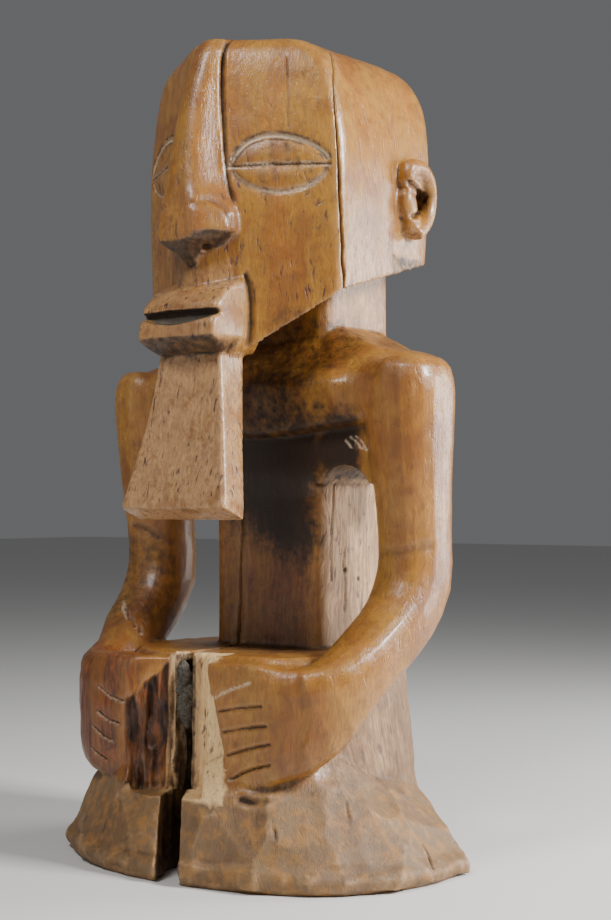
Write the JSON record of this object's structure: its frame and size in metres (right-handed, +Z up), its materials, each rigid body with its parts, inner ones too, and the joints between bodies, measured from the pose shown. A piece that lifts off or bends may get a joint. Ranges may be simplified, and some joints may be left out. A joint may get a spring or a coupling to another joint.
{
  "type": "carved wooden power figure",
  "caption": "Carved hardwood nkisi power figure: a bearded half-figure, hands on its belly, with a flaring foot it stands on; the right fingers are broken away.",
  "frame": {"origin": "middle of the flat underside, at the centre of the bounding box", "axes": "+Z up, -Y the way the figure faces, +X towards the figure's left hand"},
  "size_m": [0.163, 0.125, 0.3034],
  "materials": {
    "wood": "oiled and handled hardwood, low shine on the arms and face, dull and pale where raw"
  },
  "bodies": {
    "root": {"figure": "wood"}
  },
  "joints": []
}
